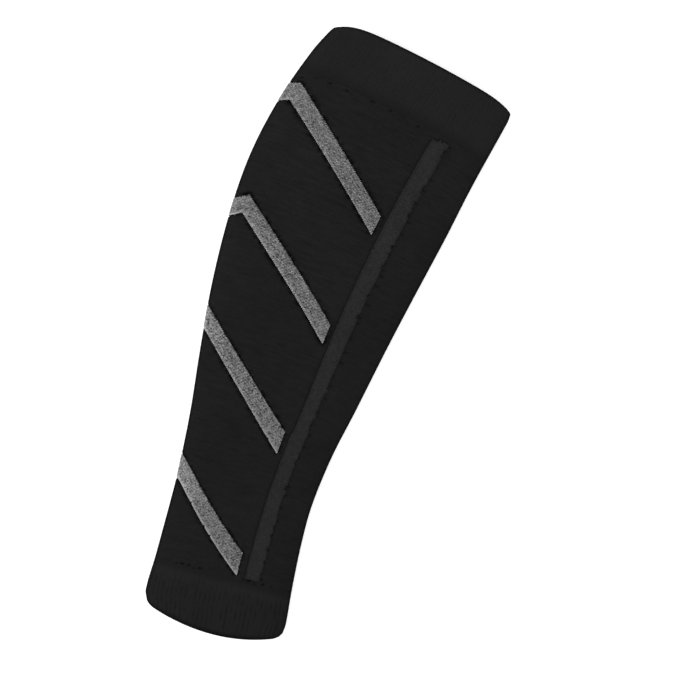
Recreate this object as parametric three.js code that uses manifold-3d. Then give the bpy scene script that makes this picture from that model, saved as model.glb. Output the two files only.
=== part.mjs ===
// Calf compression sleeve lying flat: a seamless knitted tube with a ribbed cuff at each end, two support
// bands along its length and four pointed stripes knitted flush into its outer face.
// Millimetres. X runs across the sleeve, +Y from the ankle rim to the knee rim, +Z up from where it lies.
import * as THREE from "three";
import Module from "manifold-3d";

// Centre line: a slow bend that leans left at the ankle and right at the knee
const LENGTH = 339;
const ANKLE_LEAN = THREE.MathUtils.degToRad(7.16);
const KNEE_LEAN = THREE.MathUtils.degToRad(-8.25);
const START = new THREE.Vector2(4.2, -170.48);

// Cross-sections: distance of each side fold from the centre line, and height of the crown
const SECTIONS = [
  { station: 0, left: 33.5, right: 41.5, height: 15.0 },
  { station: 9, left: 34.5, right: 42.3, height: 15.0 },
  { station: 15, left: 36.6, right: 42.9, height: 15.0 },
  { station: 34, left: 36.0, right: 41.5, height: 15.0 },
  { station: 64, left: 36.1, right: 39.7, height: 15.0 },
  { station: 84, left: 37.0, right: 39.4, height: 15.5 },
  { station: 114, left: 40.4, right: 41.8, height: 16.2 },
  { station: 144, left: 45.9, right: 46.0, height: 17.0 },
  { station: 184, left: 53.5, right: 50.1, height: 18.0 },
  { station: 224, left: 59.3, right: 53.7, height: 18.5 },
  { station: 254, left: 61.4, right: 55.8, height: 18.5 },
  { station: 284, left: 60.0, right: 56.6, height: 18.2 },
  { station: 314, left: 55.7, right: 57.6, height: 17.4 },
  { station: 328, left: 52.1, right: 57.9, height: 17.0 },
  { station: 332, left: 50.5, right: 57.7, height: 17.0 },
  { station: 339, left: 49.5, right: 56.3, height: 17.0 },
];
// Height of the side folds as a share of the crown's height
const FOLD_SHARE = 0.42;
// Bluntness of the crown: 2 is an ellipse
const CROWN_POWER = 2.3;
// How far the rounding under a fold runs in from it
const FOLD_REACH = 14;

// Knit thickness of the tube and of the doubled cuffs, and the clearance between pieces
const BODY_WALL = 1.8;
const CUFF_WALL = 2.6;
const GAP = 0.3;

// Cuffs: where each meets the tube, how its rim draws back towards the folds, and its ribs
const ANKLE_CUFF = {
  line: 32,
  lineBow: 0,
  ribs: 64,
  rim: { peak: 0.1, leftBow: 6.3, rightBow: 7.7, leftNotch: 1.2, rightNotch: 2.2, power: 30 },
};
const KNEE_CUFF = {
  line: 305.5,
  lineBow: 4,
  ribs: 92,
  rim: { peak: 0.28, leftBow: 1.8, rightBow: 1.6, leftNotch: 4.6, rightNotch: 2.8, power: 8 },
};
const RIB_DEPTH = 0.3;
// How late towards the folds a joint's bow sets in
const LINE_POWER = 4;
// Rings of a cuff's outside: share of the way from the joint to the rim, distance back from either end, inset
const CUFF_RINGS = [
  { share: 0, back: 0, inset: 0.4 },
  { share: 0, back: 1.2, inset: 0 },
  { share: 0.5, back: 0, inset: 0 },
  { share: 1, back: 1.6, inset: 0 },
  { share: 1, back: 0.5, inset: 0.4 },
  { share: 1, back: 0, inset: 1.1 },
];

// Tube mesh: columns on the crown, under each fold and on the underside, and rows along the length
const CROWN_COLUMNS = 26;
const FOLD_COLUMNS = 5;
const UNDER_COLUMNS = 3;
const BODY_ROWS = 18;

// Support bands: place round the tube as a turn from the left fold over the front, and width
const BAND_FROM = 34.2;
const BAND_TO = 302.4;
const BAND_ROWS = 24;
const BANDS = [
  { station: 34, front: 0.346, back: 0.655, width: 8.4 },
  { station: 100, front: 0.359, back: 0.66, width: 8.0 },
  { station: 180, front: 0.3655, back: 0.672, width: 8.7 },
  { station: 240, front: 0.3694, back: 0.686, width: 9.3 },
  { station: 303, front: 0.3745, back: 0.692, width: 9.5 },
];

// Pointed stripes: station and turn of the point, how far its upper and lower corner turn apart, drop of the
// legs per turn, its change, width along the tube, and distance from a band's middle at which the legs stop
const CHEVRONS = [
  { station: 291.2, turn: 0.033, apart: 0, drop: 131, sag: 85, width: 10.5, stop: 8.4 },
  { station: 226.5, turn: 0.041, apart: 0.0017, drop: 158, sag: 38, width: 9.9, stop: 7.5 },
  { station: 163.35, turn: 0, apart: 0, drop: 190, sag: -73, width: 11.7, stop: 7.4 },
  { station: 84, turn: 0.006, apart: 0, drop: 176, sag: -80, width: 12.2, stop: 8 },
];
// Share by which a stripe widens per turn from its point
const CHEVRON_SPREAD = 0.35;
// How far the pressed left fold holds a stripe back, and within what distance of the fold
const FOLD_LAG = 3;
const FOLD_EASE = 4.2;
// Turn either side of the point that every leg covers, and the least turn from the point to the next column
const LEG_TURN = 0.29;
const POINT_CLEAR = 0.006;

// Inlaid strips: thickness, and the recess they lie in
const STRIP_THICKNESS = 0.5;
const RECESS_DEPTH = STRIP_THICKNESS + GAP;
const RECESS_CLEAR = 1.5;

// Stretches of a section, steps for measuring round it, and steps for settling where a stripe ends
const STRETCHES = 4;
const ROUND_STEPS = 240;
const SETTLE_STEPS = 8;

const KNITS = {
  body: { color: 0x1f1f20, roughness: 0.95, metalness: 0 },
  cuff: { color: 0x252526, roughness: 0.95, metalness: 0 },
  band: { color: 0x2b2b2c, roughness: 0.9, metalness: 0 },
  stripe: { color: 0x77787a, roughness: 0.6, metalness: 0 },
};

const wasm = await Module();
wasm.setup();

// Smooth curve through one column of a table
function along(rows, column, station) {
  const after = rows.findIndex((row) => row.station > station);
  const i = after < 0 ? rows.length - 2 : Math.max(after - 1, 0);
  const slope = (k) => {
    const a = rows[Math.max(k - 1, 0)];
    const b = rows[Math.min(k + 1, rows.length - 1)];
    return (b[column] - a[column]) / (b.station - a.station);
  };
  const span = rows[i + 1].station - rows[i].station;
  const t = THREE.MathUtils.clamp((station - rows[i].station) / span, 0, 1);
  const ease = t * t * (3 - 2 * t);
  const level = rows[i][column] * (1 - ease) + rows[i + 1][column] * ease;
  return level + span * (slope(i) * t * (1 - t) ** 2 + slope(i + 1) * t * t * (t - 1));
}

// Size of the section at a station
function sectionAt(station) {
  const left = along(SECTIONS, "left", station);
  const right = along(SECTIONS, "right", station);
  const height = along(SECTIONS, "height", station);
  return { half: (left + right) / 2, middle: (right - left) / 2, height, fold: FOLD_SHARE * height };
}

// Point of the section in its own plane: q runs 0 to 1 over the crown from the left fold, to 2 under the
// right fold, to 3 along the underside, to 4 under the left fold; inset moves it into the knit
function sectionPoint(q, station, inset) {
  const { half, middle, height, fold } = sectionAt(station);
  const t = q - Math.floor(q);
  const stretch = Math.floor(q) % STRETCHES;
  const flat = half - FOLD_REACH;
  if (stretch === 0) {
    const c = Math.cos(Math.PI * (1 - t));
    const s = Math.sin(Math.PI * t);
    const across = Math.sign(c) * Math.abs(c) ** (2 / CROWN_POWER) * (half - inset);
    return { across: middle + across, up: fold + (height - inset - fold) * s ** (2 / CROWN_POWER) };
  }
  if (stretch === 2) {
    return { across: middle + flat * (1 - 2 * t), up: inset };
  }
  const angle = ((stretch === 1 ? t : 1 - t) * Math.PI) / 2;
  const across = flat + (FOLD_REACH - inset) * Math.cos(angle);
  const up = fold - (fold - inset) * Math.sin(angle);
  return { across: middle + (stretch === 1 ? across : -across), up };
}

// Point of the bent tube
function surface(q, station, inset) {
  const { across, up } = sectionPoint(q, station, inset);
  const radius = LENGTH / (KNEE_LEAN - ANKLE_LEAN);
  const lean = ANKLE_LEAN + ((KNEE_LEAN - ANKLE_LEAN) * station) / LENGTH;
  const x = START.x + (radius + across) * Math.cos(lean) - radius * Math.cos(ANKLE_LEAN);
  const y = START.y + (radius + across) * Math.sin(lean) - radius * Math.sin(ANKLE_LEAN);
  return new THREE.Vector3(x, y, up);
}

// Lengths round the section at a station, from the left fold over the front
function lengthsRound(station) {
  const lengths = [0];
  let before = sectionPoint(0, station, 0);
  for (let i = 1; i <= ROUND_STEPS; i += 1) {
    const here = sectionPoint((STRETCHES * i) / ROUND_STEPS, station, 0);
    lengths.push(lengths[i - 1] + Math.hypot(here.across - before.across, here.up - before.up));
    before = here;
  }
  return lengths;
}

// Place on the section a given turn round it
function placeOfTurn(turn, station) {
  const lengths = lengthsRound(station);
  const target = (turn - Math.floor(turn)) * lengths[ROUND_STEPS];
  const i = Math.max(lengths.findIndex((length) => length > target), 1);
  const t = (target - lengths[i - 1]) / (lengths[i] - lengths[i - 1]);
  return (STRETCHES * (i - 1 + t)) / ROUND_STEPS;
}

// Turn of a place on the section
function turnOfPlace(q, station) {
  const lengths = lengthsRound(station);
  const step = (q * ROUND_STEPS) / STRETCHES;
  const i = Math.min(Math.floor(step), ROUND_STEPS - 1);
  return THREE.MathUtils.lerp(lengths[i], lengths[i + 1], step - i) / lengths[ROUND_STEPS];
}

// Length all the way round the section
function girth(station) {
  return lengthsRound(station)[ROUND_STEPS];
}

// Share of the half width at which a place lies, -1 at the left fold to 1 at the right
function shareAcross(q, station) {
  const { half, middle } = sectionAt(station);
  return (sectionPoint(q, station, 0).across - middle) / half;
}

// How far a rim draws back from its peak
function drawBack(rim, share) {
  const bow = share < rim.peak ? rim.leftBow : rim.rightBow;
  const notch = share < 0 ? rim.leftNotch : rim.rightNotch;
  return bow * (share - rim.peak) ** 2 + notch * Math.abs(share) ** rim.power;
}

// Stations of a cuff's joint and rim at a share across
function jointAt(cuff, share) {
  return cuff.line - cuff.lineBow * share ** LINE_POWER;
}
function rimAt(cuff, share) {
  return cuff === KNEE_CUFF ? LENGTH - drawBack(cuff.rim, share) : drawBack(cuff.rim, share);
}

// Geometry from points and triangles
function geometryOf(points, triangles) {
  const geometry = new THREE.BufferGeometry().setFromPoints(points);
  geometry.setIndex(triangles);
  geometry.computeVertexNormals();
  return geometry;
}

// Closed tube from rings that run along the outside and back along the inside
function tubeOf(rings) {
  const count = rings[0].length;
  const triangles = [];
  rings.forEach((ring, i) => {
    const next = (i + 1) % rings.length;
    for (let j = 0; j < count; j += 1) {
      const k = (j + 1) % count;
      const [a, b, c, d] = [i * count + j, i * count + k, next * count + k, next * count + j];
      triangles.push(a, b, c, a, c, d);
    }
  });
  return geometryOf(rings.flat(), triangles);
}

// Closed slab from a grid of outer points and the grid of inner points under it
function slabOf(outer, inner) {
  const rows = outer.length;
  const columns = outer[0].length;
  const top = (i, j) => i * columns + j;
  const under = (i, j) => rows * columns + i * columns + j;
  const triangles = [];
  const quad = (a, b, c, d) => triangles.push(a, b, c, a, c, d);
  for (let i = 0; i + 1 < rows; i += 1) {
    for (let j = 0; j + 1 < columns; j += 1) {
      quad(top(i, j), top(i, j + 1), top(i + 1, j + 1), top(i + 1, j));
      quad(under(i, j), under(i + 1, j), under(i + 1, j + 1), under(i, j + 1));
    }
    quad(top(i, 0), top(i + 1, 0), under(i + 1, 0), under(i, 0));
    quad(top(i + 1, columns - 1), top(i, columns - 1), under(i, columns - 1), under(i + 1, columns - 1));
  }
  for (let j = 0; j + 1 < columns; j += 1) {
    quad(top(0, j + 1), top(0, j), under(0, j), under(0, j + 1));
    quad(top(rows - 1, j), top(rows - 1, j + 1), under(rows - 1, j + 1), under(rows - 1, j));
  }
  return geometryOf([...outer.flat(), ...inner.flat()], triangles);
}

// Joins and cuts
function solidOf(geometry) {
  return new wasm.Manifold(
    new wasm.Mesh({
      numProp: 3,
      vertProperties: new Float32Array(geometry.getAttribute("position").array),
      triVerts: new Uint32Array(geometry.index.array),
    }),
  );
}
function geometryOfSolid(solid) {
  const mesh = solid.getMesh();
  const geometry = new THREE.BufferGeometry();
  geometry.setAttribute("position", new THREE.BufferAttribute(mesh.vertProperties, 3));
  geometry.setIndex(new THREE.BufferAttribute(mesh.triVerts, 1));
  geometry.computeVertexNormals();
  return geometry;
}

// Places of the tube's columns
function bodyColumns() {
  const counts = [CROWN_COLUMNS, FOLD_COLUMNS, UNDER_COLUMNS, FOLD_COLUMNS];
  return counts.flatMap((count, stretch) => Array.from({ length: count }, (_, i) => stretch + i / count));
}

// The plain tube between the cuffs
function bodyTube() {
  const columns = bodyColumns();
  const ring = (row, inset) =>
    columns.map((q) => {
      const from = jointAt(ANKLE_CUFF, shareAcross(q, ANKLE_CUFF.line)) + GAP / 2;
      const to = jointAt(KNEE_CUFF, shareAcross(q, KNEE_CUFF.line)) - GAP / 2;
      return surface(q, THREE.MathUtils.lerp(from, to, row / BODY_ROWS), inset);
    });
  const rows = Array.from({ length: BODY_ROWS + 1 }, (_, row) => row);
  const outside = rows.map((row) => ring(row, 0));
  const inside = rows.reverse().map((row) => ring(row, BODY_WALL));
  return tubeOf([...outside, ...inside]);
}

// A ribbed cuff from its joint with the tube to its rim
function cuffTube(cuff) {
  const towardsKnee = cuff === KNEE_CUFF;
  const middle = (cuff.line + (towardsKnee ? LENGTH : 0)) / 2;
  const columns = Array.from({ length: 2 * cuff.ribs }, (_, i) => placeOfTurn(i / (2 * cuff.ribs), middle));
  const sign = towardsKnee ? 1 : -1;
  const station = (q, { share, back }) => {
    const place = shareAcross(q, middle);
    const joint = jointAt(cuff, place) + (sign * GAP) / 2;
    const inward = share === 1 ? -back : back;
    return THREE.MathUtils.lerp(joint, rimAt(cuff, place), share) + sign * inward;
  };
  const outside = CUFF_RINGS.map((ring) =>
    columns.map((q, i) => surface(q, station(q, ring), ring.inset + (i % 2) * RIB_DEPTH)),
  );
  const inside = [1, 0].map((share) =>
    columns.map((q) => surface(q, station(q, { share, back: 0 }), CUFF_WALL)),
  );
  const rings = [...outside, ...inside];
  return tubeOf(towardsKnee ? rings : rings.reverse());
}

// A support band, or its recess, between two insets and grown all round
function bandSlab(side, grow, outerInset, innerInset) {
  const rows = Array.from({ length: BAND_ROWS + 1 }, (_, i) => i / BAND_ROWS);
  const grid = (inset) =>
    rows.map((t) => {
      const station = THREE.MathUtils.lerp(BAND_FROM - grow, BAND_TO + grow, t);
      const half = (along(BANDS, "width", station) / 2 + grow) / girth(station);
      const middle = along(BANDS, side, station);
      return [-1, 0, 1].map((v) => surface(placeOfTurn(middle + v * half, station), station, inset));
    });
  return slabOf(grid(outerInset), grid(innerInset));
}

// Turn as a stripe follows it, which is less near the left fold
function eased(turn, around) {
  return turn - (FOLD_LAG / around) * Math.tanh((turn * around) / FOLD_EASE);
}

// Turns of a pointed stripe's columns between its two ends, each half way between two of the tube's columns
function chevronTurns(chevron, point) {
  const middle = chevron.station - (chevron.drop * LEG_TURN) / 2;
  const columns = [...bodyColumns(), STRETCHES];
  const halfway = columns.slice(1).map((q, i) => (q + columns[i]) / 2);
  const places = halfway.map((q) => turnOfPlace(q, middle));
  const turns = places.map((turn) => (turn > 0.5 ? turn - 1 : turn));
  const covered = turns.filter((turn) => Math.abs(turn - chevron.turn) < LEG_TURN);
  const clear = covered.filter((turn) => Math.abs(turn - chevron.turn) > POINT_CLEAR);
  return [...clear, point].sort((a, b) => a - b);
}

// A pointed stripe, or its recess, between two insets and grown all round
function chevronSlab(chevron, grow, outerInset, innerInset) {
  const around = girth(chevron.station);
  const steep = Math.hypot(chevron.drop / around, 1);
  const pointOf = (v) => chevron.turn + v * chevron.apart;
  const stationAt = (turn, v) => {
    const x = Math.abs(eased(turn, around) - eased(pointOf(v), around));
    const half = (chevron.width / 2) * (1 + CHEVRON_SPREAD * x) + grow * steep;
    return chevron.station - chevron.drop * x - chevron.sag * x * x + v * half;
  };
  const endTurn = (side, v) => {
    let turn = side === "front" ? LEG_TURN : -LEG_TURN;
    for (let i = 0; i < SETTLE_STEPS; i += 1) {
      const station = stationAt(turn, v);
      const stop = (chevron.stop - grow) / girth(station);
      const band = along(BANDS, side, station);
      turn = side === "front" ? band - stop : band - 1 + stop;
    }
    return turn;
  };
  const grid = (inset) =>
    [-1, 1].map((v) =>
      [endTurn("back", v), ...chevronTurns(chevron, pointOf(v)), endTurn("front", v)].map((turn) => {
        const station = stationAt(turn, v);
        return surface(placeOfTurn(turn, station), station, inset);
      }),
    );
  return slabOf(grid(outerInset), grid(innerInset));
}

// Named piece with its own material
function piece(name, geometry, knit) {
  const material = new THREE.MeshStandardMaterial(knit);
  material.name = name;
  const mesh = new THREE.Mesh(geometry, material);
  mesh.name = name;
  return mesh;
}

const sleeve = new THREE.Group();
sleeve.name = "calf_compression_sleeve";

// Inlaid strips and the recesses they lie in
const recesses = [];
for (const side of ["front", "back"]) {
  const geometry = bandSlab(side, 0, 0, STRIP_THICKNESS);
  sleeve.add(piece(`support_band_${side}`, geometry, KNITS.band));
  recesses.push(solidOf(bandSlab(side, GAP, -RECESS_CLEAR, RECESS_DEPTH)));
}
CHEVRONS.forEach((chevron, i) => {
  const geometry = chevronSlab(chevron, 0, 0, STRIP_THICKNESS);
  sleeve.add(piece(`chevron_${i + 1}`, geometry, KNITS.stripe));
  recesses.push(solidOf(chevronSlab(chevron, GAP, -RECESS_CLEAR, RECESS_DEPTH)));
});

// The tube with its recesses, and the cuffs at its ends
const body = recesses.reduce((solid, recess) => solid.subtract(recess), solidOf(bodyTube()));
sleeve.add(piece("sleeve_body", geometryOfSolid(body), KNITS.body));
sleeve.add(piece("knee_cuff", cuffTube(KNEE_CUFF), KNITS.cuff));
sleeve.add(piece("ankle_cuff", cuffTube(ANKLE_CUFF), KNITS.cuff));

export default sleeve;
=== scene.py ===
"""Looks of a calf compression sleeve lying flat: its knit, ribbed cuffs, support bands and stripes."""
import math

import bpy
import numpy as np
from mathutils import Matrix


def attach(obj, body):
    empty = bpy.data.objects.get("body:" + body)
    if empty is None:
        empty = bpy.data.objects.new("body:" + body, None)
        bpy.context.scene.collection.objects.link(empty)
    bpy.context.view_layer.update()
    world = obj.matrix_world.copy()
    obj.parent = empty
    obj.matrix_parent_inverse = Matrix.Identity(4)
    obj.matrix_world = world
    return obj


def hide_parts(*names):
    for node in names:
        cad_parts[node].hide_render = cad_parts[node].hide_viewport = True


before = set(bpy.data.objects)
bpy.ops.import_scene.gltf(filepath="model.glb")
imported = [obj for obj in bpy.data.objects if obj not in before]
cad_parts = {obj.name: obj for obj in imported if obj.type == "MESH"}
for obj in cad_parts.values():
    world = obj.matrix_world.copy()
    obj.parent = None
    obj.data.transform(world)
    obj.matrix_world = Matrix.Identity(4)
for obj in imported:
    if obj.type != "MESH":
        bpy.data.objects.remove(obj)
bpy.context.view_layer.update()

# Tube, with the solids' own values in millimetres: length, lean of its ends, start of its middle line
MM = 0.001
LENGTH = 339.0
ANKLE_LEAN = math.radians(7.16)
KNEE_LEAN = math.radians(-8.25)
START = (4.2, -170.48)

# Cross-sections: station, reach of the left and the right fold, height of the crown
STATION, LEFT_FOLD, RIGHT_FOLD, CROWN = range(4)
SECTIONS = np.array([
    (0, 33.5, 41.5, 15.0),
    (9, 34.5, 42.3, 15.0),
    (15, 36.6, 42.9, 15.0),
    (34, 36.0, 41.5, 15.0),
    (64, 36.1, 39.7, 15.0),
    (84, 37.0, 39.4, 15.5),
    (114, 40.4, 41.8, 16.2),
    (144, 45.9, 46.0, 17.0),
    (184, 53.5, 50.1, 18.0),
    (224, 59.3, 53.7, 18.5),
    (254, 61.4, 55.8, 18.5),
    (284, 60.0, 56.6, 18.2),
    (314, 55.7, 57.6, 17.4),
    (328, 52.1, 57.9, 17.0),
    (332, 50.5, 57.7, 17.0),
    (339, 49.5, 56.3, 17.0),
])
# Stretches of a section: crown, right fold, underside, left fold
STRETCHES = 4
# The folds' height as a share of the crown's, power of the crown's curve, and reach of the folds
FOLD_SHARE = 0.42
CROWN_POWER = 2.3
FOLD_REACH = 14.0
# Walls, and the gap between the tube and a cuff
BODY_WALL = 1.8
CUFF_WALL = 2.6
GAP = 0.02

# Slack of the crown in slow waves: waves a turn, their lean along the tube, their shift and height
SLACK_WAVES = [
    (2, 0.021, 1.3, 0.20),
    (3, -0.043, 0.5, 0.15),
    (5, 0.067, 2.1, 0.09),
    (1, 0.12, 4.0, 0.07),
]

# Cuffs: joint and its bow, rim with its peak, bows and notches, ribs and the painted shade in their
# valleys, then tones and painted rim shade, and how far they reach
ANKLE_CUFF = dict(
    line=32.0, bow=0.0, rim=0.0, sign=-1,
    peak=0.1, left_bow=6.3, right_bow=7.7, left_notch=1.2, right_notch=2.2, notch_power=30,
    ribs=64, rib_depth=0.3, valley_shade=0.3,
    tone=0.86, glow=0.14, joint_tone=0.78, joint_fade=4.0, rim_shade=0.05, rim_reach=3.0,
)
KNEE_CUFF = dict(
    line=305.5, bow=4.0, rim=LENGTH, sign=1,
    peak=0.28, left_bow=1.8, right_bow=1.6, left_notch=4.6, right_notch=2.8, notch_power=8,
    ribs=92, rib_depth=0.2, valley_shade=0.08,
    tone=1.02, glow=0.0, joint_tone=0.7, joint_fade=7.0, rim_shade=0.02, rim_reach=1.8,
)
# Power of the joint's bow across the tube
JOINT_POWER = 4
# Rings of a cuff: two close ones at the joint, then rows of the outside, the rolled rim and the inside
CUFF_START = (0.0, 0.03)
CUFF_ROWS = 36
ROLL_ROWS = 9
CUFF_INNER_ROWS = 5
# Height of a cuff's course
CUFF_COURSE = 0.8
# Ribs: mesh columns in each, distance from the joint over which they grow, power of the valleys
RIB_COLUMNS = 8
RIB_FADE = 8.0
VALLEY_POWER = 1.2
# Strokes in which the ribs come and go: their mean strength, and rows that run together on each side
RIB_STRENGTH = 0.5
RIB_STROKE = 2
# Where the lighter rows near a joint lie, and how far they reach
GLOW_AT = 4.8
GLOW_REACH = 3.2
# Where the painted shade on the rim begins to fade on its lip, as a share of half the lip's thickness
LIP_FROM = 0.4

# Support bands: station, turn round the tube of the front and the back band, width
FRONT_TURN, BACK_TURN, BAND_WIDTH = 1, 2, 3
BANDS = np.array([
    (34, 0.346, 0.655, 8.4),
    (100, 0.359, 0.660, 8.0),
    (180, 0.3655, 0.672, 8.7),
    (240, 0.3694, 0.686, 9.3),
    (303, 0.3745, 0.692, 9.5),
])
BAND_TURNS = {"support_band_front": FRONT_TURN, "support_band_back": BACK_TURN}
# Stations where the bands begin and end, and how far round past those turns they lie
BAND_FROM = 34.2
BAND_TO = 302.4
BAND_SHIFT = 0.45
# Ragged edge of a band: courses that end together, how far they differ, depth of the comb at the knee
RAGGED_COURSES = 3
RAGGED_DEPTH = 0.9
COMB_DEPTH = 1.8

# Pointed stripes: point, turn of its corners, drop and sag of the legs, width, stop before a band's middle
CHEVRONS = {
    "chevron_1": dict(station=291.2, turn=0.033, apart=0.0, drop=131, sag=85, width=10.5, stop=8.4),
    "chevron_2": dict(station=226.5, turn=0.041, apart=0.0017, drop=158, sag=38, width=9.9, stop=7.5),
    "chevron_3": dict(station=163.35, turn=0.0, apart=0.0, drop=190, sag=-73, width=11.7, stop=7.4),
    "chevron_4": dict(station=84.0, turn=0.006, apart=0.0, drop=176, sag=-80, width=12.2, stop=8.0),
}
# Growth of a stripe's width a turn, and the turn that its legs reach at most
CHEVRON_SPREAD = 0.35
CHEVRON_REACH = 0.36
# How far the pressed left fold holds a stripe back, and within what distance of the fold
FOLD_LAG = 3.0
FOLD_EASE = 4.2

# Knit of the tube: wales round it, courses along it, and the station where each wale has its own turn
WALES = 248
COURSES = 322
REST_STATION = 170.0
# Rings of the tube's inside, and part of a course between the two rings at each end of its outside
INNER_ROWS = 36
END_STEP = 0.04

# Steps of the tables from turn round the tube to spot on the section
STATION_STEPS = 226
TURN_STEPS = 720
ROUND_STEPS = 960

# Recesses of the tube under the strips, and how much deeper the grooves along the stripes are
STRIPE_RECESS = 0.8
BAND_RECESS = 0.45
GROOVE_EXTRA = 0.3
# Painted shade on the tube's inside, in the grooves along the stripes and on the bands' edges
INNER_SHADE = 0.9
GROOVE_SHADE = 0.05
BAND_EDGE_SHADE = 0.7
# Painted shade beside a stripe and beside a band: how dark it is, and how many stitches it reaches
STRIPE_SIDE_SHADE = 1.6
BAND_SIDE_SHADE = 0.4
SIDE_SHADE_REACH = 2
# Patches of the painted shade beside a stripe: their size in stitches, and the strengths that they may
# have
PATCH_SIZE = 2
PATCH_STRENGTHS = [0.0, 1.0, 2.0]
# Differences of the tube's tone: from ankle to knee, from course to course, and in strokes of some wales
TONE_DRIFT = 0.06
COURSE_SPREAD = 0.03
STROKE_SPREAD = 0.2
STROKE_WALES = 7
# Painted shade along each fold: its level, how far it reaches above and below, how sharply it ends
FOLD_SHADE = 0.1
FOLD_SHADE_REACH = 3.0
FOLD_SHADE_UNDER = 0.8
FOLD_SHADE_POWER = 4

# Eyelets and ticks: greatest width in wales, depth, shade of the ticks
MOST_WIDE = 3
EYELET_DEPTH = 0.7
TICK_DEPTH = 0.5
TICK_SHADE = 0.45
# Rows of eyelets: courses, first and last wale, least and most wales between two, shade
EYELET_ROWS = [
    ((1, 2), 27, 52, 2, 5, 0.15),
    ((1, 2), 84, 114, 3, 7, 0.15),
    ((1, 2), 130, 240, 8, 25, 0.15),
    ((COURSES - 1, COURSES - 2, COURSES - 4), 4, 0.36 * WALES, 6, 22, 0.35),
    ((COURSES - 1, COURSES - 2), 0.6 * WALES, WALES, 6, 22, 0.35),
]
# Ticks beside a band: wales from its edge, least and most courses between two, free courses at the knee
TICK_OFF = 2
TICK_STEPS = (4, 11)
TICK_FREE = 2

# Strips: depths of the sheet's faces and of the stitches, their half height and arch, the sheet's tone
STRIPE_BUILD = dict(top=0.3, under=0.62, line=0.16, high=0.24, arch=0.08, tone=0.05)
BAND_BUILD = dict(top=0.14, under=0.34, line=0.05, high=0.16, arch=0.04, tone=0.2)
# Corners of a stitch's cell, as steps of course and wale
CELL_CORNERS = ((0, 0), (0, 1), (1, 1), (1, 0))
# A leg of a stitch, in wales and courses: start and lean from the stitch's middle, half width, length
LEG_START = 0.08
LEG_LEAN = 0.34
LEG_WIDE = 0.21
LEG_LENGTH = 1.3
# Differences between legs: of place, of thickness from thinnest to thickest, of tone
LEG_JITTER = 0.04
LEG_THINNEST = 0.88
LEG_THICKEST = 1.12
LEG_SPREAD = 0.15
# Form of a leg: a point at each end, and between them rings of four points at these parts of its length
RING_PARTS = (0.3, 0.7)
RING_SIDES = ((1, 0), (0, 1), (-1, 0), (0, -1))

# Yarn of the stripes: tone, painted highlight on the stitches of the lower edge, strength of the grain
STRIPE_TONES = {
    "chevron_1": dict(tone=0.415, edge_highlight=0.22, strength=0.7),
    "chevron_2": dict(tone=0.42, edge_highlight=0.45, strength=0.85),
    "chevron_3": dict(tone=0.445, edge_highlight=0.44, strength=1.0),
    "chevron_4": dict(tone=0.455, edge_highlight=0.62, strength=1.0),
}
# Share of that painted highlight in the second row of stitches
SECOND_SHARE = 0.42
# Grain of the stripes: a fine check of light and dim legs, the width of its fields, and uneven stitches
GRAIN = 0.14
GRAIN_WIDE = 1.22
GRAIN_NOISE = 0.19
# Yarn of the bands: tone along the middle, beside it and along the edges, its spread, and the dimmest
HEART_TONE = 0.5
INNER_TONE = 0.46
EDGE_TONE = 0.28
BAND_SPREAD = 0.1
DIMMEST = 0.05

# Seed of all random differences
SEED = 46

# Looks, in which a noise is a scale and a detail, and a bump is a strength and a distance in metres

# Greys have a trace more blue
COOL = 1.01
# Height of a plain stitch: start and lean of its legs from the middle, and how narrow they are
STITCH_START = 0.11
STITCH_LEAN = 0.26
STITCH_NARROW = 5.0
# Plain knits: lowest level of grey, what stitch, patch and yarn add to it, then noises, shine and bump;
# the stitch's share is painted shade between its legs
PLAIN_KNIT = dict(
    level=0.1, stitch=0.35, patch=0.3, yarn=0.5,
    patch_noise=(30.0, 3.0), yarn_noise=(1400.0, 2.0),
    rough=(0.8, 0.98), specular=0.02,
    yarn_height=0.3, bump=(0.5, 0.0003),
)
# Looped knits: what fibre and patch add to the yarn's tone, what comes off, then noises, shine and bump
LOOPED_KNIT = dict(
    fibre=0.35, patch=0.2, less=0.27,
    fibre_noise=(2600.0, 3.0), patch_noise=(60.0, 2.0),
    rough_spread=0.1, sheen_roughness=0.4,
    bump=(0.4, 0.0001),
)
# Darkest and lightest grey of each knit, and the shine of the looped ones
PLAIN_LOOKS = {
    "body_knit": dict(dark=0.0015, light=0.0149),
    "cuff_rib": dict(dark=0.0015, light=0.0188),
}
LOOPED_LOOKS = {
    "support_band": dict(dark=0.010, light=0.0448, rough=0.85, specular=0.06, sheen=0.02),
    "reflective_yarn": dict(dark=0.03, light=0.448, rough=0.6, specular=0.2, sheen=0.03),
}

# Floor, in metres: half its width, and how far it lies under the sleeve
FLOOR_HALF = 4.0
FLOOR_DROP = 0.0003
# Look of the floor
FLOOR_GREYS = (0.90, 0.93)
FLOOR_NOISE = (6.0, 2.0)
FLOOR_ROUGH = 0.9
FLOOR_SPECULAR = 0.1
FLOOR_GLOW = 0.42

# Picture, in metres: width, turn and middle of what it shows at the folds' height, height of the camera
PICTURE_WIDE = 0.3851
PICTURE_TURN = math.radians(20.343)
PICTURE_MIDDLE = (0.02567, 0.00289)
FOLD_HEIGHT = 0.007
CAMERA_HEIGHT = 3.2
# Width of the camera's sensor, in millimetres
SENSOR_WIDE = 36.0

# Light panels, in metres and watts; the left one stands some way out on the picture's left
ABOVE_PANEL = dict(place=(0.38, 0.2, 1.9), size=2.4, power=24.0)
LEFT_REACH = 1.3
LEFT_HEIGHT = 1.0
LEFT_PANEL = dict(
    place=(LEFT_REACH * -math.cos(PICTURE_TURN), LEFT_REACH * -math.sin(PICTURE_TURN), LEFT_HEIGHT),
    size=1.0, power=17.0,
)
# Light of the white room
WHITE = (1, 1, 1, 1)
WORLD_LIGHT = 0.52

# One source of all random differences
random = np.random.default_rng(SEED)


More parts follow.
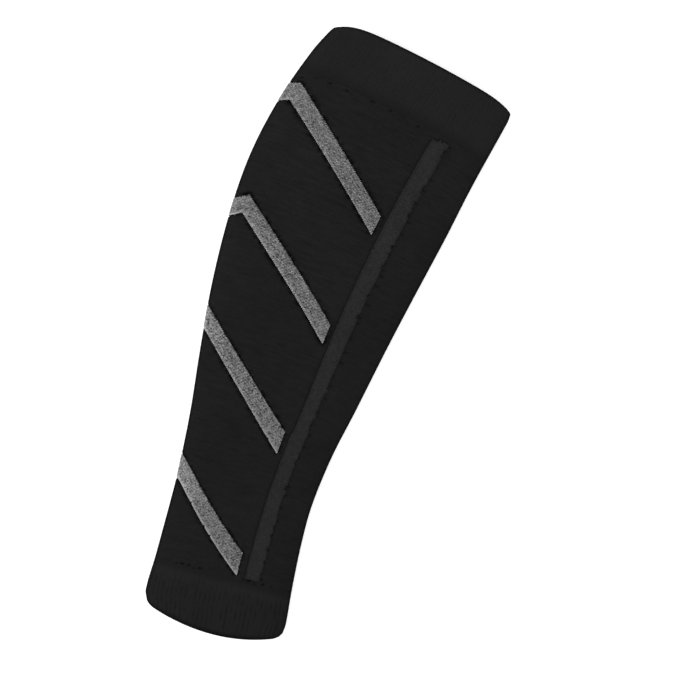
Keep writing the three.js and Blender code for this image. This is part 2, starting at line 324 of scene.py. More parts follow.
# Smooth curve through one column of a table
def along(rows, column, station):
    at, level = rows[:, STATION], rows[:, column]
    order = np.arange(len(at))
    before, after = np.maximum(order - 1, 0), np.minimum(order + 1, len(at) - 1)
    slope = (level[after] - level[before]) / (at[after] - at[before])
    row = np.clip(np.searchsorted(at, station, "right") - 1, 0, len(at) - 2)
    span = at[row + 1] - at[row]
    part = np.clip((station - at[row]) / span, 0, 1)
    ease = part * part * (3 - 2 * part)
    bend = slope[row] * part * (1 - part) ** 2 + slope[row + 1] * part * part * (part - 1)
    return level[row] * (1 - ease) + level[row + 1] * ease + span * bend


# Point of a section; its spot runs from 0 to 4 over the crown, right fold, underside and left fold
def section_point(spot, station, inset):
    left, right, height = (along(SECTIONS, column, station) for column in (LEFT_FOLD, RIGHT_FOLD, CROWN))
    half, middle, fold = (left + right) / 2, (right - left) / 2, FOLD_SHARE * height
    flat = half - FOLD_REACH
    stretch = np.floor(spot) % STRETCHES
    part = spot - np.floor(spot)
    cosine, sine = np.cos(np.pi * (1 - part)), np.sin(np.pi * part)
    crown_x = np.sign(cosine) * np.abs(cosine) ** (2 / CROWN_POWER) * (half - inset)
    crown_z = fold + (height - inset - fold) * np.maximum(sine, 0) ** (2 / CROWN_POWER)
    angle = np.where(stretch == 1, part, 1 - part) * np.pi / 2
    side_x = flat + (FOLD_REACH - inset) * np.cos(angle)
    side_z = fold - (fold - inset) * np.sin(angle)
    under_x = flat * (1 - 2 * part)
    under_z = inset + 0 * part
    across = np.select([stretch == 0, stretch == 1, stretch == 2], [crown_x, side_x, under_x], -side_x)
    up = np.select([stretch == 0, stretch == 2], [crown_z, under_z], side_z)
    return middle + across, up


# Point of the bent tube
def surface(spot, station, inset):
    across, up = section_point(spot, station, inset)
    radius = LENGTH / (KNEE_LEAN - ANKLE_LEAN)
    lean = ANKLE_LEAN + (KNEE_LEAN - ANKLE_LEAN) * station / LENGTH
    x = START[0] + (radius + across) * np.cos(lean) - radius * math.cos(ANKLE_LEAN)
    y = START[1] + (radius + across) * np.sin(lean) - radius * math.sin(ANKLE_LEAN)
    return np.stack([x, y, np.maximum(up, 0)], -1)


# Tables from turn round the tube to spot on the section
STATION_GRID = np.linspace(0, LENGTH, STATION_STEPS + 1)
TURN_GRID = np.linspace(0, 1, TURN_STEPS + 1)
ROUND_GRID = np.linspace(0, STRETCHES, ROUND_STEPS + 1)
ring_x, ring_z = section_point(ROUND_GRID[None, :], STATION_GRID[:, None], 0.0)
ring_step = np.hypot(np.diff(ring_x, axis=1), np.diff(ring_z, axis=1))
ring_length = np.concatenate([np.zeros((STATION_STEPS + 1, 1)), np.cumsum(ring_step, axis=1)], axis=1)
GIRTHS = ring_length[:, -1]
CROWN_SHARES = ring_length[:, ROUND_STEPS // STRETCHES] / GIRTHS
SPOTS = np.stack([np.interp(TURN_GRID, row / row[-1], ROUND_GRID) for row in ring_length])


# Length of the way round the tube
def girth(station):
    return np.interp(station, STATION_GRID, GIRTHS)


# Turn at which the right fold lies; the left one is at 0
def crown_share(station):
    return np.interp(station, STATION_GRID, CROWN_SHARES)


# The same turn, between half a turn back and half a turn on
def wrapped(turn):
    return (turn + 0.5) % 1 - 0.5


# Spot on the section at a turn round the tube
def spot_at(turn, station):
    station_step = np.clip(station / LENGTH, 0, 1) * STATION_STEPS
    turn_step = (turn % 1) * TURN_STEPS
    row = np.minimum(station_step.astype(int), STATION_STEPS - 1)
    column = np.minimum(turn_step.astype(int), TURN_STEPS - 1)
    row_part, column_part = station_step - row, turn_step - column
    near = SPOTS[row, column] * (1 - column_part) + SPOTS[row, column + 1] * column_part
    far = SPOTS[row + 1, column] * (1 - column_part) + SPOTS[row + 1, column + 1] * column_part
    return near * (1 - row_part) + far * row_part


# Point of the knit, which lies on the tube with the slack of its crown
def knit_point(turn, station, inset, spot=None):
    spot = spot_at(turn, station) if spot is None else spot
    crown = np.where(spot < 1, np.sin(np.pi * np.clip(spot, 0, 1)), 0)
    lift = sum(height * np.sin(2 * np.pi * waves * turn + lean * station + shift)
               for waves, lean, shift, height in SLACK_WAVES)
    return surface(spot, station, inset - lift * crown)


# Share of the half width at which a spot lies, -1 at the left fold to 1 at the right
def share_across(spot, station):
    across, _ = section_point(spot, station, 0.0)
    left, right = along(SECTIONS, LEFT_FOLD, station), along(SECTIONS, RIGHT_FOLD, station)
    return (across - (right - left) / 2) / ((left + right) / 2)


# Station of a cuff's joint with the tube
def joint_at(cuff, share):
    return cuff["line"] - cuff["bow"] * share ** JOINT_POWER


# Station of a cuff's rim, which draws back from its peak
def rim_at(cuff, share):
    bow = np.where(share < cuff["peak"], cuff["left_bow"], cuff["right_bow"])
    notch = np.where(share < 0, cuff["left_notch"], cuff["right_notch"])
    back = bow * (share - cuff["peak"]) ** 2 + notch * np.abs(share) ** cuff["notch_power"]
    return cuff["rim"] - cuff["sign"] * back


# Ends of the tube, and turns of the front band from which the wales' drift is taken
knee_line = np.full(TURN_STEPS + 1, KNEE_CUFF["line"])
KNEE_ENDS = joint_at(KNEE_CUFF, share_across(spot_at(TURN_GRID, knee_line), knee_line)) - GAP / 2
BODY_FROM = ANKLE_CUFF["line"] + GAP / 2
BAND_REST, BAND_KNEE = along(BANDS, FRONT_TURN, np.array([REST_STATION, KNEE_CUFF["line"]]))


# Turn and station of a stitch, from its wale and course; the wales drift as the front band does
def lattice(wale, course):
    end = np.interp((wale / WALES + BAND_KNEE - BAND_REST) % 1, TURN_GRID, KNEE_ENDS)
    station = BODY_FROM + (end - BODY_FROM) * course / COURSES
    turn = wale / WALES + along(BANDS, FRONT_TURN, station) - BAND_REST
    return turn, station


# Turn and station of every wale at some courses
def wale_rows(courses):
    return lattice(*np.meshgrid(np.arange(WALES), courses))


# Object that holds some data in the scene
def scene_object(name, data):
    thing = bpy.data.objects.new(name, data)
    bpy.context.scene.collection.objects.link(thing)
    return thing


# Mesh object from points in millimetres, quads and triangles
def mesh_object(name, points, quads, triangles=()):
    triangles = np.asarray(triangles, dtype=int).reshape(-1, 3)
    corners = np.concatenate([quads.ravel(), triangles.ravel()])
    starts = np.concatenate([np.arange(len(quads)) * 4, len(quads) * 4 + np.arange(len(triangles)) * 3])
    mesh = bpy.data.meshes.new(name)
    mesh.vertices.add(len(points))
    mesh.vertices.foreach_set("co", (points * MM).ravel())
    mesh.loops.add(len(corners))
    mesh.loops.foreach_set("vertex_index", corners)
    mesh.polygons.add(len(starts))
    mesh.polygons.foreach_set("loop_start", starts)
    mesh.update(calc_edges=True)
    mesh.polygons.foreach_set("use_smooth", np.ones(len(starts), dtype=bool))
    return scene_object(name, mesh)


# Named value for each point of a mesh
def point_values(thing, name, values):
    layer = thing.data.attributes.new(name, "FLOAT", "POINT")
    layer.data.foreach_set("value", np.asarray(values, dtype=np.float32).ravel())


# Stitch coordinates, in wales and courses, for each corner of a mesh
def stitch_map(thing, stitch):
    deep = np.concatenate([stitch, np.zeros((len(stitch), 1))], axis=1)
    layer = thing.data.attributes.new("knit", "FLOAT_VECTOR", "CORNER")
    layer.data.foreach_set("vector", deep.astype(np.float32).ravel())


# Flat layout for each corner of a mesh
def flat_map(thing, flat):
    thing.data.uv_layers.new(name="OFBake").uv.foreach_set("vector", flat.astype(np.float32).ravel())


# Closed tube from rings that run along the outside and back along the inside
def tube_object(name, rings, courses, wales):
    rows, columns = rings.shape[:2]
    row, column = np.meshgrid(np.arange(rows), np.arange(columns), indexing="ij")
    next_row, next_column = (row + 1) % rows, (column + 1) % columns
    quads = np.stack([row * columns + column, row * columns + next_column,
                      next_row * columns + next_column, next_row * columns + column], -1).reshape(-1, 4)
    thing = mesh_object(name, rings.reshape(-1, 3), quads)
    step = np.linalg.norm(np.roll(rings, -1, axis=0) - rings, axis=2).mean(axis=1)
    run = np.concatenate([[0], np.cumsum(step)]) / step.sum()
    across = np.stack([column, column + 1, column + 1, column], -1).reshape(-1) / columns
    low, high = run[row], run[row + 1]
    up = np.stack([low, low, high, high], -1).reshape(-1)
    low, high = courses[row], courses[next_row]
    course = np.stack([low, low, high, high], -1).reshape(-1)
    stitch_map(thing, np.stack([across * wales, course], 1))
    flat_map(thing, np.stack([across, up], 1))
    return thing


# Painted shade along the folds, by distance from each fold
def fold_shade(turn, station):
    above_left, above_right = wrapped(turn), wrapped(crown_share(station) - turn)
    shade = 1.0
    for above in (above_left * girth(station), above_right * girth(station)):
        reach = np.where(above > 0, FOLD_SHADE_REACH, FOLD_SHADE_UNDER)
        shade = shade - (1 - FOLD_SHADE) * np.exp(-(above / reach) ** FOLD_SHADE_POWER)
    return shade


# Middle of each stitch, girth of the tube there, and height of a course in each wale
wale_at, course_at = np.meshgrid(np.arange(WALES), np.arange(COURSES))
cell_turn, cell_station = lattice(wale_at + 0.5, course_at + 0.5)
cell_girth = girth(cell_station)
course_height = cell_station[1] - cell_station[0]


# Stitches of a band
def band_cells(column):
    off = wrapped(cell_turn - along(BANDS, column, cell_station)) * cell_girth - BAND_SHIFT
    steps = random.uniform(-0.5, 0.5, COURSES // RAGGED_COURSES + 1)
    ragged = RAGGED_DEPTH * np.repeat(steps, RAGGED_COURSES)[:COURSES, None]
    comb = COMB_DEPTH * random.uniform(0, 1, WALES)
    half = along(BANDS, BAND_WIDTH, cell_station) / 2
    wide = (off > -half) & (off < half + ragged)
    return wide & (cell_station > BAND_FROM) & (cell_station < BAND_TO - comb)


# Turn as a stripe follows it, which is less near the left fold
def eased(turn, around):
    return turn - FOLD_LAG / around * np.tanh(turn * around / FOLD_EASE)


# Stitches that touch only at a corner are joined by the one beside them
def joined(cells):
    cells = cells.copy()
    for side in (-1, 1):
        beside = np.roll(cells, side, axis=1)
        above = np.roll(cells, -1, axis=0)
        corner = np.roll(beside, -1, axis=0)
        lone = cells & corner & ~beside & ~above
        cells |= np.roll(lone, 1, axis=0)
    return cells


# Part of a course by which a stripe's stitches shift, so that its edges run straight
def edge_shifts(above, below):
    low = np.where(above > 0, above / course_height % 1, 0) - 0.5
    high = np.where(below > 0, below / course_height % 1, 0) - 0.5
    share = np.clip(above / (above + below), 0, 1)
    return high * share - low * (1 - share)


# Stitches of a stripe, and how far each shifts
def chevron_cells(station, turn, apart, drop, sag, width, stop):
    around = girth(station)
    from_point = wrapped(cell_turn - turn)

    def edge(side):
        off = np.abs(eased(wrapped(cell_turn), around) - eased(turn + side * apart, around))
        return station - drop * off - sag * off ** 2 + side * width / 2 * (1 + CHEVRON_SPREAD * off)

    front = wrapped(along(BANDS, FRONT_TURN, cell_station) - cell_turn) * cell_girth
    back = wrapped(cell_turn - along(BANDS, BACK_TURN, cell_station)) * cell_girth
    clear = np.where(from_point > 0, front, back) > stop
    above, below = cell_station - edge(-1), edge(1) - cell_station
    cells = (above > 0) & (below > 0) & clear & (np.abs(from_point) < CHEVRON_REACH)
    return joined(cells), edge_shifts(above, below)


# Which stitches belong to each strip
strips, shifts = {}, {}
for name, column in BAND_TURNS.items():
    strips[name], shifts[name] = band_cells(column), np.zeros((COURSES, WALES))
for name, chevron in CHEVRONS.items():
    strips[name], shifts[name] = chevron_cells(**chevron)


# Lattice points that the stitches of some strips touch, and those of them on an edge
def touched(names):
    cells = np.zeros((COURSES + 2, WALES), dtype=bool)
    cells[1:-1] = np.any([strips[name] for name in names], axis=0)
    beside = np.roll(cells, 1, axis=1)
    around = np.stack([cells[:-1], cells[1:], beside[:-1], beside[1:]])
    return around.any(axis=0), around.any(axis=0) & ~around.all(axis=0)


# Mean of a grid with its neighbours along one way
def softened(grid, reach, axis):
    return sum(np.roll(grid, step, axis=axis) for step in range(-reach, reach + 1)) / (2 * reach + 1)


# How much of an edge lies within a few stitches of each lattice point
def nearness(edge):
    return softened(softened(edge.astype(float), SIDE_SHADE_REACH, 0), SIDE_SHADE_REACH, 1)


# Depth of the tube's outside
stripe_points, stripe_edge = touched(CHEVRONS)
band_points, band_edge = touched(BAND_TURNS)
depth = STRIPE_RECESS * stripe_points + GROOVE_EXTRA * stripe_edge + BAND_RECESS * band_points

# Shade of the tube's outside: painted shade in the grooves, beside the strips and along the folds, then
# tone that differs from ankle to knee and at random
stripe_side_shade = STRIPE_SIDE_SHADE * nearness(stripe_edge)
patches = random.choice(PATCH_STRENGTHS, (COURSES // PATCH_SIZE + 1, WALES // PATCH_SIZE))
stripe_side_shade *= patches.repeat(PATCH_SIZE, axis=0).repeat(PATCH_SIZE, axis=1)[:COURSES + 1]
shade = 1 - np.maximum((1 - GROOVE_SHADE) * stripe_edge, np.clip(stripe_side_shade, 0, 1))
# Painted shade on the bands' edges and beside them
shade *= np.where(band_edge, BAND_EDGE_SHADE, 1)
shade *= 1 - BAND_SIDE_SHADE * nearness(band_edge)
point_turn, point_station = wale_rows(np.arange(COURSES + 1))
# Painted shade along both folds
shade *= fold_shade(point_turn, point_station)
shade *= 1 + TONE_DRIFT * (2 * point_station / LENGTH - 1)
shade *= 1 + COURSE_SPREAD * random.standard_normal((COURSES + 1, 1))
shade *= 1 + STROKE_SPREAD * softened(random.standard_normal((COURSES + 1, WALES)), STROKE_WALES // 2, 1)


# Soft dark ticks at uneven steps beside a band
def ticks(cells):
    least, most = TICK_STEPS
    course = random.uniform(0, most)
    while course < COURSES - TICK_FREE:
        row = int(course)
        held = np.flatnonzero(cells[row])
        if len(held):
            across = (held[-1] + TICK_OFF + np.arange(random.integers(1, MOST_WIDE + 1))) % WALES
            depth[row, across] = TICK_DEPTH
            shade[row, across] = TICK_SHADE
        course += random.uniform(least, most)


# Small dark eyelets at uneven steps along some courses, some of them pulled wide
def eyelets(courses, first, last, least, most, dark):
    wale = first
    while wale < last:
        wide = random.integers(1, MOST_WIDE + 1)
        across = (int(wale) + np.arange(wide)) % WALES
        course = courses[random.integers(len(courses))]
        depth[course, across] = EYELET_DEPTH
        shade[course, across] = dark
        wale += wide + random.uniform(least, most)


# Ticks beside both bands, and eyelets at both cuff joints
for name in BAND_TURNS:
    ticks(strips[name])
for eyelet_row in EYELET_ROWS:
    eyelets(*eyelet_row)

# Tube: a ring close to each end keeps the shading level up to the cuffs
outer_course = np.concatenate([[0, END_STEP], np.arange(1, COURSES), [COURSES - END_STEP, COURSES]])
inner_course = np.linspace(COURSES, 0, INNER_ROWS)
nearest_course = np.rint(outer_course).astype(int)
outside = knit_point(*wale_rows(outer_course), depth[nearest_course])
inside = knit_point(*wale_rows(inner_course), BODY_WALL)
body_courses = np.concatenate([outer_course, inner_course])
body = tube_object("knit_tube", np.concatenate([outside, inside]), body_courses, WALES)
# Painted shade on the tube's inside
inner_shade = np.full((INNER_ROWS, WALES), INNER_SHADE)
point_values(body, "shade", np.concatenate([shade[nearest_course], inner_shade]))


# Ribs that come and go along the cuff, in strokes
def rib_strokes(ribs, rows):
    noise = softened(random.standard_normal((rows, ribs)), RIB_STROKE, 0)
    return np.clip(RIB_STRENGTH + noise, 0, 1)


# Rings of a cuff, as station and inset: along the outside, round the rim and back along the inside
def cuff_lines(joint, rim, sign):
    roll = CUFF_WALL / 2
    lines = [(joint + sign * run, 0.0) for run in CUFF_START]
    first, last = lines[-1][0], rim - sign * roll
    for part in np.linspace(0, 1, CUFF_ROWS)[1:]:
        lines.append((first * (1 - part) + last * part, 0.0))
    for angle in np.linspace(0, np.pi, ROLL_ROWS)[1:]:
        lines.append((last + sign * roll * math.sin(angle), roll * (1 - math.cos(angle))))
    for part in np.linspace(0, 1, CUFF_INNER_ROWS)[1:]:
        lines.append((last * (1 - part) + joint * part, CUFF_WALL))
    return lines


# Tone and shade of a cuff's ring: lighter rows near the joint and a dim joint, then painted shade in the
# rib valleys and on the rolled rim
def cuff_tone_and_shade(cuff, run, to_rim, inset, grown):
    tone = cuff["tone"] * (1 + cuff["glow"] * np.exp(-((run - GLOW_AT) / GLOW_REACH) ** 2))
    tone = tone * (1 - (1 - cuff["joint_tone"]) * np.clip(1 - run / cuff["joint_fade"], 0, 1))
    # Painted shade on the outside of the rolled rim, fading on its lip, and in the rib valleys
    turned_in = np.clip((inset / (CUFF_WALL / 2) - LIP_FROM) / (1 - LIP_FROM), 0, 1)
    edge = np.clip(1 - to_rim / cuff["rim_reach"], 0, 1) * (1 - turned_in)
    shading = (1 - cuff["valley_shade"] * grown) * (1 - (1 - cuff["rim_shade"]) * edge)
    return tone * shading


# A cuff: a closed tube of ribbed knit with a rolled rim
def cuff_object(name, cuff):
    columns = cuff["ribs"] * RIB_COLUMNS
    turn = np.arange(columns) / columns
    middle = np.full(columns, (cuff["line"] + cuff["rim"]) / 2)
    spot = spot_at(turn, middle)
    across = share_across(spot, middle)
    joint = joint_at(cuff, across) + cuff["sign"] * GAP / 2
    rim = rim_at(cuff, across)
    valley = (1 - np.abs(np.cos(np.pi * turn * cuff["ribs"]))) ** VALLEY_POWER
    lines = cuff_lines(joint, rim, cuff["sign"])
    strokes = np.repeat(rib_strokes(cuff["ribs"], len(lines)), RIB_COLUMNS, axis=1)
    rings, courses, shades = [], [], []
    for stroke, (station, inset) in zip(strokes, lines):
        run = np.abs(station - joint)
        fade = max(0.0, 1 - inset / CUFF_WALL)
        grown = np.clip(run / RIB_FADE, 0, 1) * fade * valley * stroke
        rings.append(knit_point(turn, station, inset + cuff["rib_depth"] * grown, spot))
        courses.append(abs(float(np.mean(station - joint))) / CUFF_COURSE)
        shading = cuff_tone_and_shade(cuff, run, np.abs(rim - station), inset, grown)
        # Painted shade along the folds
        shades.append(shading * fold_shade(turn, station))
    rings, courses, shades = np.array(rings), np.array(courses), np.array(shades)
    if cuff["sign"] < 0:
        rings, courses, shades = rings[::-1], courses[::-1], shades[::-1]
    thing = tube_object(name, rings, courses, 2 * cuff["ribs"])
    point_values(thing, "shade", shades)
    return thing


# Both cuffs
knee_cuff = cuff_object("knee_rib", KNEE_CUFF)
ankle_cuff = cuff_object("ankle_rib", ANKLE_CUFF)

# Points of a leg, as part of its length, across and up from its line
ring_points = [(part, *side) for part in RING_PARTS for side in RING_SIDES]
LEG_POINTS = np.array([(0.0, 0, 0), *ring_points, (1.0, 0, 0)])
# Faces of a leg: quads between its rings, and triangles to the point at each end
first_ring = 1 + np.arange(len(RING_SIDES))
last_ring = first_ring + len(RING_SIDES)
first_next, last_next = np.roll(first_ring, -1), np.roll(last_ring, -1)
first_point, last_point = np.full_like(first_ring, 0), np.full_like(last_ring, len(LEG_POINTS) - 1)
LEG_QUADS = np.stack([first_ring, last_ring, last_next, first_next], 1)
LEG_ENDS = np.concatenate([np.stack([first_point, first_ring, first_next], 1),
                           np.stack([last_point, last_next, last_ring], 1)])


# Thin closed sheet under a strip's stitches: points, quads, and the points' turns and stations
def strip_sheet(cells, build):
    course, wale = np.argwhere(cells).T
    corners = [(course + up) * WALES + (wale + across) % WALES for up, across in CELL_CORNERS]
    used, local = np.unique(np.stack(corners, 1), return_inverse=True)
    local = local.reshape(-1, 4)
    count = len(used)
    turn, station = lattice(used % WALES, used // WALES)
    points = np.concatenate([knit_point(turn, station, build[face]) for face in ("top", "under")])
    edges = np.concatenate([local[:, [corner, (corner + 1) % 4]] for corner in range(4)])
    outer = ~np.isin(edges[:, 0] * count + edges[:, 1], edges[:, 1] * count + edges[:, 0])
    start, end = edges[outer].T
    rim = np.stack([end, start, start + count, end + count], 1)
    quads = np.concatenate([local, local[:, ::-1] + count, rim])
    return points, quads, np.tile(wrapped(turn), 2), np.tile(station, 2)


# Two yarn legs on each stitch of a strip: points, and their turns and stations
def strip_legs(name, build):
    course, wale = (np.repeat(place, 2)[:, None] for place in np.argwhere(strips[name]).T)
    count = len(wale)
    side = np.tile([-1.0, 1.0], count // 2)[:, None]
    part, across, up = LEG_POINTS.T
    jitter = random.normal(0, LEG_JITTER, (count, 2))
    grow = random.uniform(LEG_THINNEST, LEG_THICKEST, (count, 1))
    off = side * (LEG_START + LEG_LEAN * part) + LEG_WIDE * grow * across + jitter[:, :1]
    run = LEG_LENGTH * (part - 0.5) + jitter[:, 1:] + shifts[name][course, wale]
    turn, station = lattice(wale + 0.5 + off, course + 0.5 + run)
    inset = build["line"] - build["arch"] * np.sin(np.pi * part) - build["high"] * grow * up
    return knit_point(turn, station, inset).reshape(-1, 3), wrapped(turn).ravel(), station.ravel()


# A strip: its sheet and the legs on it, with a tone for each leg
def strip_object(name, build, tones):
    sheet, sheet_quads, sheet_turns, sheet_stations = strip_sheet(strips[name], build)
    legs, leg_turns, leg_stations = strip_legs(name, build)
    base = len(sheet) + len(LEG_POINTS) * np.arange(len(tones))[:, None, None]
    quads = np.concatenate([sheet_quads, (LEG_QUADS + base).reshape(-1, 4)])
    triangles = (LEG_ENDS + base).reshape(-1, 3)
    thing = mesh_object(f"{name}_stitches", np.concatenate([sheet, legs]), quads, triangles)
    leg_tones = tones * random.uniform(1 - LEG_SPREAD, 1 + LEG_SPREAD, len(tones))
    sheet_tones = np.full(len(sheet), build["tone"])
    point_values(thing, "tone", np.concatenate([sheet_tones, np.repeat(leg_tones, len(LEG_POINTS))]))
    turns = np.concatenate([sheet_turns, leg_turns])
    stations = np.concatenate([sheet_stations, leg_stations])
    flat = np.stack([(value - value.min()) / np.ptp(value) for value in (turns, stations)], 1)
    corner = np.zeros(len(thing.data.loops), dtype=int)
    thing.data.loops.foreach_get("vertex_index", corner)
    flat_map(thing, flat[corner])
    return thing


# Tones of a stripe's legs: grain, and a painted highlight on the stitches along the lower edge
def stripe_tones(cells, tone, edge_highlight, strength):
    course, wale = np.argwhere(cells).T
    # Painted highlight on the two lowest rows of stitches
    lower_edge = (cells & ~np.roll(cells, 1, axis=0))[course, wale]
    second = (cells & ~np.roll(cells, 2, axis=0))[course, wale]
    edge = edge_highlight * np.where(lower_edge, 1.0, np.where(second, SECOND_SHARE, 0.0))
    side = np.tile([-1.0, 1.0], len(wale)) * (LEG_START + LEG_LEAN / 2) / WALES
    leg_turn = np.repeat(wrapped(cell_turn[course, wale]), 2) + side
    leg_girth = np.repeat(cell_girth[course, wale], 2)
    check = np.floor(leg_turn * leg_girth / GRAIN_WIDE) + np.repeat(course, 2)
    noise = np.repeat(random.standard_normal(len(wale)), 2)
    grain = GRAIN * (2 * (check % 2) - 1) + GRAIN_NOISE * noise
    return np.clip(tone + strength * grain, 0.0, 1.0) + np.repeat(edge, 2)


# Tones of a band's legs, which are dimmer toward its edges
def band_tones(cells):
    course, wale = np.argwhere(cells).T
    inner = cells & np.roll(cells, 1, axis=1) & np.roll(cells, -1, axis=1)
    inner &= np.roll(cells, 1, axis=0) & np.roll(cells, -1, axis=0)
    heart = inner & np.roll(inner, 1, axis=1) & np.roll(inner, -1, axis=1)
    level = np.where(heart, HEART_TONE, np.where(inner, INNER_TONE, EDGE_TONE))[course, wale]
    return np.repeat(np.clip(level + random.normal(0, BAND_SPREAD, len(wale)), DIMMEST, 1), 2)


# Both bands and all stripes
strip_pieces = {}
for name in BAND_TURNS:
    tones = band_tones(strips[name])
    strip_pieces[name] = strip_object(name, BAND_BUILD, tones)
for name in CHEVRONS:
    tones = stripe_tones(strips[name], **STRIPE_TONES[name])
    strip_pieces[name] = strip_object(name, STRIPE_BUILD, tones)


# Nodes of one material
class Graph:
    def __init__(self, name):
        self.material = bpy.data.materials.new(name)
        self.material.use_nodes = True
        self.tree = self.material.node_tree
        self.shader = self.tree.nodes["Principled BSDF"]

    def add(self, kind, **settings):
        node = self.tree.nodes.new(kind)
        for key, value in settings.items():
            setattr(node, key, value)
        return node

    # Link a socket to a node's output, or set its own value
    def feed(self, socket, value):
        if isinstance(value, bpy.types.NodeSocket):
            self.tree.links.new(value, socket)
        else:
            socket.default_value = value

    def look(self, socket, value):
        self.feed(self.shader.inputs[socket], value)

    def math(self, operation, *values, clamp=False):
        node = self.add("ShaderNodeMath", operation=operation, use_clamp=clamp)
        for socket, value in zip(node.inputs, values):
            self.feed(socket, value)
        return node.outputs[0]

    def attribute(self, name, output):
        return self.add("ShaderNodeAttribute", attribute_name=name).outputs[output]

    def noise(self, scale, detail):
        node = self.add("ShaderNodeTexNoise")
        self.feed(node.inputs["Vector"], self.add("ShaderNodeTexCoord").outputs["Object"])
        self.feed(node.inputs["Scale"], scale)
        self.feed(node.inputs["Detail"], detail)
        return node.outputs["Fac"]

    def between(self, dark, light, factor):
        node = self.add("ShaderNodeMix", data_type="RGBA")
        self.feed(node.inputs["Factor"], factor)
        self.feed(node.inputs["A"], (*dark, 1))
        self.feed(node.inputs["B"], (*light, 1))
        return node.outputs["Result"]

    def spread(self, value, low, high):
        node = self.add("ShaderNodeMapRange")
        self.feed(node.inputs["Value"], value)
        self.feed(node.inputs["To Min"], low)
        self.feed(node.inputs["To Max"], high)
        return node.outputs["Result"]

    def bump(self, height, strength, distance):
        node = self.add("ShaderNodeBump")
        self.feed(node.inputs["Height"], height)
        self.feed(node.inputs["Strength"], strength)
        self.feed(node.inputs["Distance"], distance)
        self.look("Normal", node.outputs["Normal"])


def grey(level):
    return (level, level, level * COOL)


# Height of a plain stitch: two legs that lean apart up the course
def stitch_height(graph):
    split = graph.add("ShaderNodeSeparateXYZ")
    graph.feed(split.inputs[0], graph.attribute("knit", "Vector"))
    across = graph.math("FRACT", split.outputs["X"])
    up = graph.math("FRACT", split.outputs["Y"])
    off = graph.math("ABSOLUTE", graph.math("SUBTRACT", across, 0.5))
    lean = graph.math("MULTIPLY_ADD", up, STITCH_LEAN, STITCH_START)
    near = graph.math("MULTIPLY", graph.math("SUBTRACT", off, lean), STITCH_NARROW)
    return graph.math("SUBTRACT", 1.0, graph.math("MULTIPLY", near, near), clamp=True)


# Black knit of the tube and the cuffs
def plain_knit(name, dark, light):
    graph = Graph(name)
    height = stitch_height(graph)
    patch = graph.noise(*PLAIN_KNIT["patch_noise"])
    yarn = graph.noise(*PLAIN_KNIT["yarn_noise"])
    # Painted shade in the gaps between a stitch's legs
    level = graph.math("MULTIPLY_ADD", height, PLAIN_KNIT["stitch"], PLAIN_KNIT["level"])
    level = graph.math("MULTIPLY_ADD", patch, PLAIN_KNIT["patch"], level)
    level = graph.math("MULTIPLY_ADD", yarn, PLAIN_KNIT["yarn"], level)
    level = graph.math("MULTIPLY", level, graph.attribute("shade", "Fac"), clamp=True)
    graph.look("Base Color", graph.between(grey(dark), grey(light), level))
    graph.look("Roughness", graph.spread(yarn, *PLAIN_KNIT["rough"]))
    graph.look("Specular IOR Level", PLAIN_KNIT["specular"])
    relief = graph.math("MULTIPLY_ADD", yarn, PLAIN_KNIT["yarn_height"], height)
    graph.bump(relief, *PLAIN_KNIT["bump"])
    return graph.material


# Grey knit of the bands and the stripes
def looped_knit(name, dark, light, rough, specular, sheen):
    graph = Graph(name)
    fibre = graph.noise(*LOOPED_KNIT["fibre_noise"])
    patch = graph.noise(*LOOPED_KNIT["patch_noise"])
    level = graph.math("MULTIPLY_ADD", fibre, LOOPED_KNIT["fibre"], graph.attribute("tone", "Fac"))
    level = graph.math("MULTIPLY_ADD", patch, LOOPED_KNIT["patch"], level)
    level = graph.math("SUBTRACT", level, LOOPED_KNIT["less"], clamp=True)
    rough_spread = LOOPED_KNIT["rough_spread"]
    graph.look("Base Color", graph.between(grey(dark), grey(light), level))
    graph.look("Roughness", graph.spread(fibre, rough - rough_spread, rough + rough_spread))
    graph.look("Specular IOR Level", specular)
    graph.look("Sheen Weight", sheen)
    graph.look("Sheen Roughness", LOOPED_KNIT["sheen_roughness"])
    graph.bump(fibre, *LOOPED_KNIT["bump"])
    return graph.material


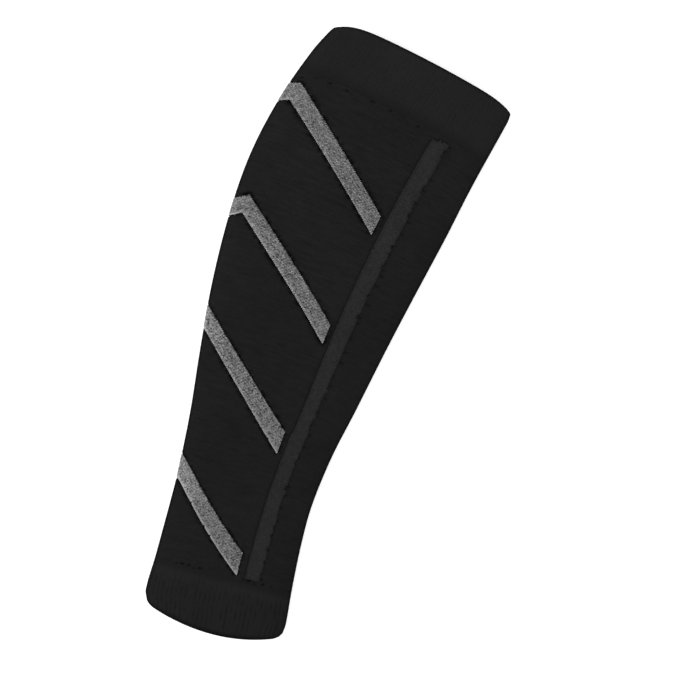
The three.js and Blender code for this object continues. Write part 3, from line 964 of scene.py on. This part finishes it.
# White floor that glows a little, so that it stays pale all over
def pale_floor():
    graph = Graph("pale_floor")
    dark, light = FLOOR_GREYS
    graph.look("Base Color", graph.between(grey(dark), grey(light), graph.noise(*FLOOR_NOISE)))
    graph.look("Roughness", FLOOR_ROUGH)
    graph.look("Specular IOR Level", FLOOR_SPECULAR)
    graph.look("Emission Color", WHITE)
    graph.look("Emission Strength", FLOOR_GLOW)
    return graph.material


# Material of each slot
looks = {name: plain_knit(name, **look) for name, look in PLAIN_LOOKS.items()}
looks |= {name: looped_knit(name, **look) for name, look in LOOPED_LOOKS.items()}

# Pieces on the frame
parts = [
    (body, "sleeve_body", "body_knit"),
    (knee_cuff, "knee_cuff", "cuff_rib"),
    (ankle_cuff, "ankle_cuff", "cuff_rib"),
]
for name, thing in strip_pieces.items():
    parts.append((thing, name, "reflective_yarn" if name in CHEVRONS else "support_band"))
for thing, node, slot in parts:
    thing.data.materials.append(looks[slot])
    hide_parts(node)
    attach(thing, "root")

# Floor
floor_points = np.array([(-1, -1, 0), (1, -1, 0), (1, 1, 0), (-1, 1, 0)]) * FLOOR_HALF / MM
floor = mesh_object("floor", floor_points, np.array([[0, 1, 2, 3]]))
floor.location.z = -FLOOR_DROP
floor.data.materials.append(pale_floor())

# Camera straight above, turned as the sleeve lies in the picture
camera_data = bpy.data.cameras.new("camera")
camera_data.sensor_width = SENSOR_WIDE
camera_data.lens = SENSOR_WIDE * (CAMERA_HEIGHT - FOLD_HEIGHT) / PICTURE_WIDE
camera = scene_object("camera", camera_data)
camera.location = (*PICTURE_MIDDLE, CAMERA_HEIGHT)
camera.rotation_euler = (0, 0, PICTURE_TURN)
bpy.context.scene.camera = camera


# Square light panel that faces the sleeve
def panel(name, place, size, power):
    data = bpy.data.lights.new(name, "AREA")
    data.shape = "SQUARE"
    data.size = size
    data.energy = power
    lamp = scene_object(name, data)
    lamp.location = place
    toward = -lamp.location
    lamp.rotation_euler = toward.to_track_quat("-Z", "Y").to_euler()


# Soft light from a large panel above and one on the picture's left, in a white room
panel("panel_above", **ABOVE_PANEL)
panel("panel_left", **LEFT_PANEL)
world = bpy.data.worlds.new("studio")
world.use_nodes = True
background = world.node_tree.nodes["Background"]
background.inputs["Color"].default_value = WHITE
background.inputs["Strength"].default_value = WORLD_LIGHT
bpy.context.scene.world = world
bpy.context.scene.view_settings.view_transform = "Standard"
